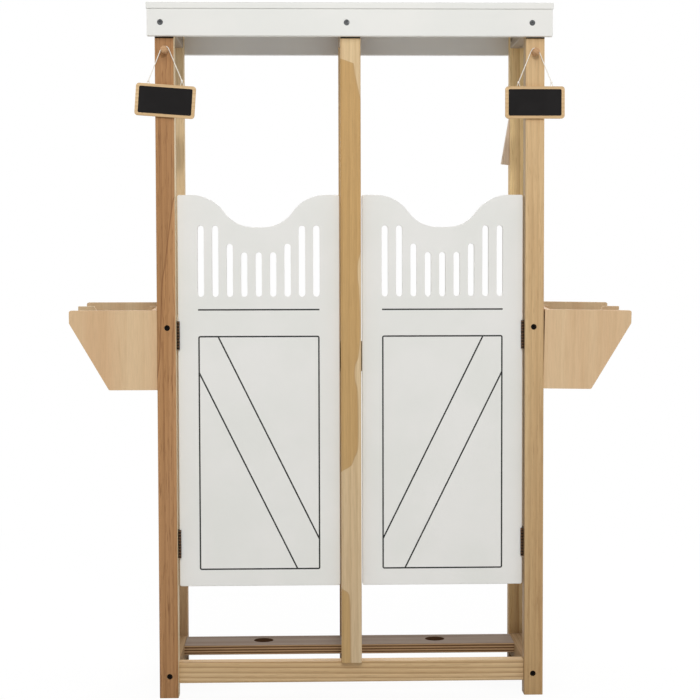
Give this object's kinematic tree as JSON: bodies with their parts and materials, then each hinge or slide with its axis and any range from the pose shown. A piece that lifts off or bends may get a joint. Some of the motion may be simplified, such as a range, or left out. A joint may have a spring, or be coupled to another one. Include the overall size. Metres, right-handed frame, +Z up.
{
  "type": "hobby horse stable",
  "caption": "Toy stable for hobby horses: timber frame with white saloon doors, flat roof, side feed troughs, stick shelf and hanging name boards.",
  "frame": {"origin": "on the floor, midway between the four corner posts", "axes": "+X along the front to the right as one faces the doors, +Y from the front to the back, +Z up"},
  "size_m": [0.887, 0.2772, 1.094],
  "materials": {
    "brown_pine": "clear matt varnish",
    "pale_pine": "clear matt varnish",
    "honey_pine": "clear matt varnish",
    "rail_pine": "clear matt varnish",
    "shelf_wood": "clear matt varnish",
    "trough_plywood": "clear matt varnish",
    "beech": "sanded",
    "white_paint": "satin white lacquer on board",
    "sign_wood": "sanded",
    "black_board": "matt chalkboard paint",
    "cotton_string": "twisted cotton",
    "dark_felt": "pressed felt",
    "black_steel": "black plated",
    "grey_steel": "dark plated",
    "zinc_steel": "zinc plated"
  },
  "bodies": {
    "stable_frame": {"barrel_nuts": "zinc_steel", "centre_post": "honey_pine", "centre_post_bolts": "grey_steel", "centre_top_rail": "rail_pine", "door_stop": "brown_pine", "door_stop_pads": "dark_felt", "frame_bolts": "black_steel", "front_bottom_rail": "rail_pine", "front_fascia": "white_paint", "front_left_post": "brown_pine", "front_right_post": "pale_pine", "hinge_post_screws": "black_steel", "left_bottom_rail": "rail_pine", "left_hinge_pins": "black_steel", "left_hinge_post_leaves": "black_steel", "left_middle_rail": "rail_pine", "left_sign_peg": "beech", "left_top_rail": "rail_pine", "left_trough_back_board": "trough_plywood", "left_trough_bottom": "trough_plywood", "left_trough_divider": "trough_plywood", "left_trough_front": "trough_plywood", "left_trough_outer_board": "trough_plywood", "left_trough_rear": "trough_plywood", "rear_centre_post": "pale_pine", "rear_fascia": "white_paint", "rear_left_post": "pale_pine", "rear_right_post": "pale_pine", "right_bottom_rail": "rail_pine", "right_hinge_pins": "black_steel", "right_hinge_post_leaves": "black_steel", "right_middle_rail": "rail_pine", "right_sign_peg": "beech", "right_top_rail": "rail_pine", "right_trough_back_board": "trough_plywood", "right_trough_bottom": "trough_plywood", "right_trough_divider": "trough_plywood", "right_trough_front": "trough_plywood", "right_trough_outer_board": "trough_plywood", "right_trough_rear": "trough_plywood", "roof_board": "white_paint", "roof_bolts": "grey_steel", "stick_shelf": "shelf_wood", "trough_dowels": "beech", "trough_screws": "zinc_steel", "wedge_rest": "pale_pine", "wood_screws": "zinc_steel"},
    "left_door": {"left_door": "white_paint", "left_hinge_door_leaves": "black_steel", "left_hinge_door_screws": "black_steel"},
    "right_door": {"right_door": "white_paint", "right_hinge_door_leaves": "black_steel", "right_hinge_door_screws": "black_steel"},
    "left_sign": {"left_sign_board": "sign_wood", "left_sign_panel": "black_board", "left_sign_string": "cotton_string"},
    "right_sign": {"right_sign_board": "sign_wood", "right_sign_panel": "black_board", "right_sign_string": "cotton_string"}
  },
  "joints": [
    {"name": "left_door_hinge", "type": "hinge", "parent": "stable_frame", "child": "left_door", "pos_m": [-0.2723, -0.1087, 0.41005], "axis": [0, 0, -1], "range_deg": [0, 110]},
    {"name": "right_door_hinge", "type": "hinge", "parent": "stable_frame", "child": "right_door", "pos_m": [0.2723, -0.1087, 0.41005], "axis": [0, 0, 1], "range_deg": [0, 110]},
    {"name": "left_sign_swing", "type": "hinge", "parent": "stable_frame", "child": "left_sign", "pos_m": [-0.2887, -0.1232, 1.0206], "axis": [0, 1, 0], "range_deg": [-45, 45]},
    {"name": "right_sign_swing", "type": "hinge", "parent": "stable_frame", "child": "right_sign", "pos_m": [0.2893, -0.1232, 1.0184], "axis": [0, 1, 0], "range_deg": [-45, 45]}
  ]
}
